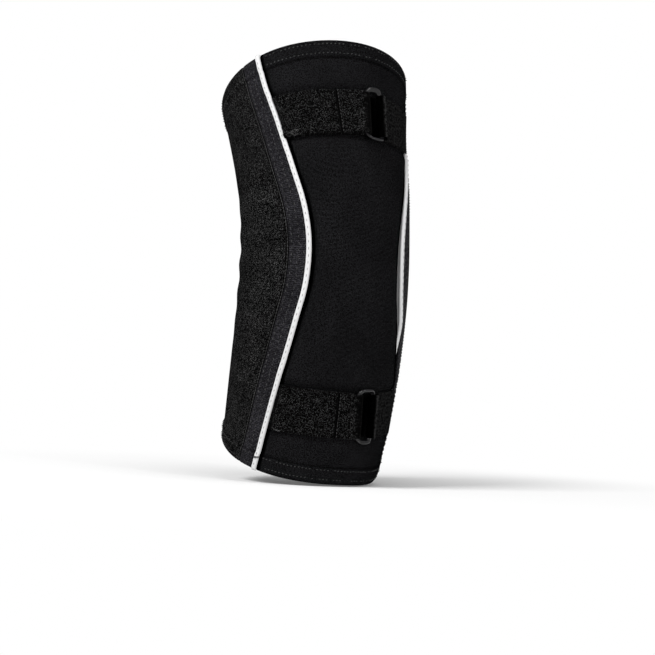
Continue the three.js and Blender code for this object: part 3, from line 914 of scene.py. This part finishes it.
def band(name, node, strap, side, line, thickness, material, columns, rows, pile=0.0, ragged=0.0,
         over=0.0, shade_to=1.2, crest=0.0, join=0.0):
    """shade_to ends the painted shade of the fold, crest paints a highlight along its top edge,
    join paints shade at the far end, over moves a corner.
    """
    runs = run_lengths(line)

    def place(u, v, back_face):
        x, height, nx, nh = line_point(line, runs, u)
        pinch = PINCH * ease(1 - abs(x) / PINCH_REACH)
        y = lerp(-STRAP_WIDTH / 2, STRAP_WIDTH / 2, v) * (1 - pinch)
        from_end = u * runs[-1], (1 - u) * runs[-1]
        beside = min(v, 1 - v) * STRAP_WIDTH
        rounded = 0.5 * edge_inset(beside, thickness * 0.8)
        thin = thickness / 2 - rounded - 0.4 * edge_inset(min(from_end), 0.8)
        lift = 0
        if pile and back_face:
            flat_point = Vector((u * runs[-1], y, 0)) / PILE_SIZE
            lift = pile * (noise.noise(flat_point) + 0.6 * noise.noise(flat_point * FINER))
        shift = -(thin + lift) if back_face else thin + lift
        x, height = x + nx * shift, height + nh * shift
        if ragged:
            at_end = ease(1 - from_end[0] / 2)
            x += at_end * (ragged * noise.noise(Vector((y * 0.9, 3.1, 0))) + over * ease(1 - 2.2 * v))
        sag = SAG * noise.noise(Vector((x * 0.06, y * 0.09, strap.turn)))
        return beside_bar(strap, x, y, height + sag * ease((height - 3) / 2), side)

    def flat(u, v):
        return u * runs[-1], v * STRAP_WIDTH

    bm = shaped_grid(columns, rows, place, flat, crowded=(0.2, 0.6))
    u_of = bm.verts.layers.float["u"]
    shades = []
    for vert in bm.verts:
        x = line_point(line, runs, vert[u_of])[0]
        # painted highlight along the top of the tab's fold; painted shade over the fold round the bar and at
        # the join
        light = crest * ease(1.5 - abs(x - shade_to - 0.5) / 0.55)
        join_shade = join * ease(1.4 - (1 - vert[u_of]) * runs[-1] / 0.6)
        shades.append(max(ease((shade_to - x) / FOLD_SHADE), join_shade) - light)
    piece = settle(bm, name, material, [node])
    piece.data.attributes.new("painted_shading", "FLOAT", "POINT").data.foreach_set("value", shades)
    print(name, "is cut to", round(runs[-1], 1), "mm")


for which, strap in STRAPS.items():
    root, tab_root = bar_to_piping(strap, -1, 0), bar_to_piping(strap, 1, 0)
    folded = folded_line(STRAP_THICKNESS, root, strap.fold)
    band(f"strap_{which}_pile", f"strap_{which}", strap, -1, folded, STRAP_THICKNESS, LOOP_PILE,
         190, 56, PILE_LIFT, join=1.0)
    end_height = 2 * CLEAR + STRAP_THICKNESS + END_THICKNESS / 2
    end_from, end_to = strap.fold + CLEAR, root - strap.end_gap
    laid = [(lerp(end_to, end_from, i / 20), end_height) for i in range(21)]
    band(f"strap_end_{which}_pile", f"strap_end_{which}", strap, -1, laid, END_THICKNESS,
         LOOP_PILE, 84, 56, PILE_LIFT, ragged=0.5, over=1.0 if which == "upper" else 0.0,
         shade_to=-9, join=1.0)
    folded = folded_line(TAB_THICKNESS, tab_root, tab_root, 4)
    band(f"tab_{which}_webbing", f"tab_{which}", strap, 1, folded, TAB_THICKNESS, WEBBING,
         160, 40, shade_to=0.1, crest=1.2)

# %% [markdown]
# The ring is moulded as a round-cornered rectangle with an oval section. A hole cut in a bevelled box would
# leave hard inner edges, so again a grid does it: one way runs round the path, the other round the section,
# and merging the doubles closes both.

# %% Rings
RING_TALL = STRAP_WIDTH + RING_WIRE + 2 * CLEAR
AROUND_WIRE, SQUARENESS = 20, 0.95


def ring_path():
    """Rows of (x, y, direction outwards) round the ring's middle, in the plane of the strap."""
    tall = RING_TALL / 2
    path = []
    for sx, sy, start in ((1, -1, -90), (1, 1, 0), (-1, 1, 90), (-1, -1, 180)):
        cx, cy = sx * (BAR_OFFSET - RING_CORNER), sy * (tall - RING_CORNER)
        for i in range(9):
            angle = radians(start + 90 * i / 8)
            path.append((cx + RING_CORNER * cos(angle), cy + RING_CORNER * sin(angle), angle))
        if sx != sy:
            path += [(sx * BAR_OFFSET, lerp(cy, -cy, i / 12), angle) for i in range(1, 12)]
        else:
            path += [(lerp(cx, -cx, i / 6), sy * tall, angle) for i in range(1, 6)]
    return path


def ring(name, strap, node):
    path = ring_path()

    def place(u, v, _):
        x, y, angle = path[round(u * len(path)) % len(path)]
        turn = 2 * pi * v
        out = RING_WIRE / 2 * copysign(abs(cos(turn)) ** SQUARENESS, cos(turn))
        up = RING_THICKNESS / 2 * copysign(abs(sin(turn)) ** SQUARENESS, sin(turn))
        return on_strap(strap, x + out * cos(angle), y + out * sin(angle), BAR_HEIGHT + up)

    bm = shaped_grid(len(path), AROUND_WIRE, place, lambda u, v: (u, v), double=False, crowded=(0, 0))
    bmesh.ops.remove_doubles(bm, verts=bm.verts[:], dist=0.01 * MM)
    settle(bm, name, RING_PLASTIC, [node])


for which, strap in STRAPS.items():
    ring(f"ring_{which}_moulded", strap, f"ring_{which}")

# %% [markdown]
# Stitches are what make a sewn thing look sewn, and drawn in a bump they vanish from the side. Each is a
# short arched piece of thread, and so are the loops of the pile. They are splines in one curve object with a
# round bevel, thinner at both ends, and the whole row is turned into one mesh.

# %% Threads
THREAD_ENDS, STITCH_ARCH = 0.5, 0.25


def thread_piece(name, threads, radius, material):
    """threads gives one row of points in metres for each thread, radius is in millimetres."""
    curve = bpy.data.curves.new(name, "CURVE")
    curve.dimensions = "3D"
    curve.bevel_depth = radius * MM
    curve.bevel_resolution = 1
    curve.use_fill_caps = True
    for points in threads:
        spline = curve.splines.new("POLY")
        spline.points.add(len(points) - 1)
        for k, (point, place) in enumerate(zip(spline.points, points)):
            point.co = (*place, 1)
            point.radius = THREAD_ENDS if k in (0, len(points) - 1) else 1
    draft = put(name + "_draft", curve)
    mesh = bpy.data.meshes.new_from_object(draft.evaluated_get(bpy.context.evaluated_depsgraph_get()))
    bpy.data.objects.remove(draft)
    bm = bmesh.new()
    bm.from_mesh(mesh)
    bpy.data.meshes.remove(mesh)
    cut = bm.loops.layers.uv.new("cut")
    for face in bm.faces:
        for loop in face.loops:
            loop[cut].uv = (loop.vert.co.x / MM, loop.vert.co.z / MM)
    settle(bm, name, material)


def surface_stitch(turn, along, turn_end, along_end, height):
    middle = on_skin((turn + turn_end) / 2, (along + along_end) / 2, height + STITCH_ARCH)
    return [on_skin(turn, along, height), middle, on_skin(turn_end, along_end, height)]


print("stitches rise by", STITCH_ARCH, "mm")

# %% [markdown]
# Two rows of cover stitch hold each hem. Going round the rim the stitches keep one pitch, skip the piping,
# and lean a little, because the thread slants from hole to hole. A perfect row would look printed, so a
# seeded draw lets some stitches sink out of sight and varies the rest.

# %% Hem stitches
HEM_ROWS = (2.8, 7.6)
HEM_PITCH, STITCH_SHARE, SUNK_SHARE = 2.1, 0.38, 0.12
ROUND_STEPS = 144
seed(5)


def hem_stitches(up):
    for row in HEM_ROWS:
        for i in range(ROUND_STEPS):
            if random() < SUNK_SHARE:
                continue
            turn = 2 * pi * i / ROUND_STEPS
            wrapped = wrap(turn)
            along = up * (1 - row / half_length(up))
            if abs(abs(wrapped) - back_seam(along)) * mean_radius(along) < PIPING_WIDTH / 2 + 1:
                continue
            step = HEM_PITCH * STITCH_SHARE / mean_radius(along)
            lean = uniform(-0.001, 0.004)
            yield surface_stitch(turn, along, turn + step, along + lean, uniform(-0.12, 0.08))


for up, end, yarn in ((1, "upper", GREY_THREAD), (-1, "lower", BLACK_THREAD)):
    thread_piece(f"hem_stitches_{end}", hem_stitches(up), 0.3, yarn)

# %% [markdown]
# The side bands carry three rows of small slanting stitches, the flat seam between band and knit has a thin
# ridge of thread, and the white tape is stitched down along its middle. The rows follow the seams' own
# functions, so they stay parallel to them however the panels are cut.

# %% Seam stitches
BAND_ROWS, BAND_PITCH = (0.2, 0.47, 0.8), 2.7
RIDGE_PITCH, RIDGE_STEP = 1.5, 0.0125
TAPE_PITCH, TAPE_STEP = 2.8, 0.011
seed(8)


def along_seam(start, stop, pitch):
    count = round(SLEEVE_LENGTH * (stop - start) / 2 / pitch)
    return [lerp(start, stop, i / count) for i in range(count)]


def band_stitches(side):
    for row, share in enumerate(BAND_ROWS):
        for along in along_seam(-0.9, 0.9, BAND_PITCH):
            start = along + row * 0.009 + uniform(-0.002, 0.002)
            seam = lerp(back_seam(start), side_seam(start), share + uniform(-0.02, 0.02))
            lean = uniform(-0.25, 0.25) / mean_radius(start)
            yield surface_stitch(side * (seam + lean), start, side * (seam - lean), start + 0.01, 0.0)


def ridge_stitches(side):
    for along in along_seam(-0.985, 0.985, RIDGE_PITCH):
        end = along + RIDGE_STEP
        yield surface_stitch(side * side_seam(along), along, side * side_seam(end), end, -0.1)


def tape_stitches(side):
    for along in along_seam(-0.97, 0.97, TAPE_PITCH):
        end = along + TAPE_STEP
        turn, turn_end = side * back_seam(along), side * back_seam(end)
        level = tape_height(side, along, PIPING_RISE - 0.05)
        middle = on_tube((turn + turn_end) / 2, along + TAPE_STEP / 2, level + 0.1)
        yield on_tube(turn, along, level), middle, on_tube(turn_end, end, level)


def piping_tie(side):
    """The hem's thread where it crosses the piping, pulled a little into the tape."""
    for along, shift in ((HEM_ROWS[1] / LOWER_LENGTH - 1, 0), (HEM_ROWS[1] / LOWER_LENGTH - 1.006, 0.4)):
        points = []
        for k in range(9):
            x = lerp(-PIPING_WIDTH / 2 - 0.5, PIPING_WIDTH / 2 + 0.5, k / 8)
            height = 1.62 - 1.3 * (abs(x) / (PIPING_WIDTH / 2 + 0.5)) ** 3
            turn = side * back_seam(along) + x / mean_radius(along)
            points.append(on_tube(turn, along + 0.002 * (x + shift), tape_height(side, along, height)))
        yield points


for side, end in ((-1, "left"), (1, "right")):
    thread_piece(f"piping_tie_{end}", piping_tie(side), 0.2, BLACK_THREAD)
    thread_piece(f"band_stitches_{end}", band_stitches(side), 0.26, BAND_THREAD)
    thread_piece(f"seam_thread_{end}", ridge_stitches(side), 0.28, GREY_THREAD)
    thread_piece(f"tape_stitches_{end}", tape_stitches(side), 0.19, TAPE_THREAD)

# %% [markdown]
# A brushed strap is covered in fine loops, and a worn end frays. Particle hair stands on end, and these loops
# lie down, so both are made of the same kind of threads as the stitches. A seeded draw scatters them, so that
# the result is the same every time.

# %% Pile and fraying
FIBRE_RADIUS, LOOPS_PER_MM = 0.06, 30
FRAYED = {"upper": 22, "lower": 6}


def fold_height(x):
    """The height of the folded strap's outer face at a distance from the bar."""
    top = 2 * BAR_HEIGHT - CLEAR
    return lerp(top, 2 * CLEAR + 2 * STRAP_THICKNESS, ease((x - RING_WIRE / 2) / 9)) - 0.1


def pile_loops(strap, x_from, x_to, height_at, count):
    """Small arches standing on a strap's face between two distances from the bar."""
    for _ in range(count):
        x, y = uniform(x_from, x_to), uniform(-STRAP_WIDTH / 2 + 0.4, STRAP_WIDTH / 2 - 0.4)
        angle, span, tall = uniform(0, pi), uniform(0.35, 0.9), uniform(0.25, 0.6)
        dx, dy = cos(angle) * span, sin(angle) * span
        height = height_at(x)
        points = []
        for k in range(5):
            t = k / 4
            rise = tall * sin(pi * t)
            points.append(beside_bar(strap, x + dx * (t - 0.5), y + dy * (t - 0.5), height + rise))
        yield points


def frayed_threads(strap, count):
    """Loose threads at the lower corner of a strap's free end."""
    tip = bar_to_piping(strap, -1, -STRAP_WIDTH / 2) - strap.end_gap
    for _ in range(count):
        x = tip + uniform(-7.5, -0.5)
        y = -STRAP_WIDTH / 2 + uniform(0.2, 3.2)
        heading, size = uniform(-0.6, 0.9), uniform(0.8, 2.6)
        points = []
        for k in range(6):
            t = k / 5 * size
            curl = 0.5 * sin(3 * t + heading * 4)
            points.append(on_strap(strap, -(BAR_OFFSET + x + t * cos(heading)),
                                   y - 0.4 * t * sin(heading) + 0.3 * curl, 3.3 + 0.5 * sin(2 * t)))
        yield points


def sewn_end(strap):
    """Stitches across the strap where its end is sewn to the folded part."""
    arch = (0, 3.45), (0.5, 3.85), (1.0, 3.45)
    starts = [lerp(-STRAP_WIDTH / 2 + 0.8, STRAP_WIDTH / 2 - 1.6, k / 12) for k in range(13)]
    return [[beside_bar(strap, strap.fold - 0.7, y + step, height) for step, height in arch] for y in starts]


for which, strap in STRAPS.items():
    thread_piece(f"sewn_end_{which}", sewn_end(strap), 0.24, GREY_THREAD)
    root = bar_to_piping(strap, -1, 0)
    end_height = 2 * CLEAR + STRAP_THICKNESS + END_THICKNESS - 0.1
    loops = [*pile_loops(strap, strap.fold + 1, root - strap.end_gap - 0.4, lambda x: end_height,
                         round(LOOPS_PER_MM * (root - strap.fold))),
             *pile_loops(strap, 2.5, strap.fold - 1.1, fold_height, round(LOOPS_PER_MM * (strap.fold - 3.6)))]
    thread_piece(f"pile_loops_{which}", loops, FIBRE_RADIUS, BAND_THREAD)
    thread_piece(f"frayed_threads_{which}", frayed_threads(strap, FRAYED[which]), FIBRE_RADIUS,
                 LOOSE_THREAD)

# %% Finish
dressed_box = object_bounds()
growth = [round((b - a) / MM, 1) for a, b in zip(cad_box[1], dressed_box[1])]
print("the box grew by", growth, "mm at its high corner")
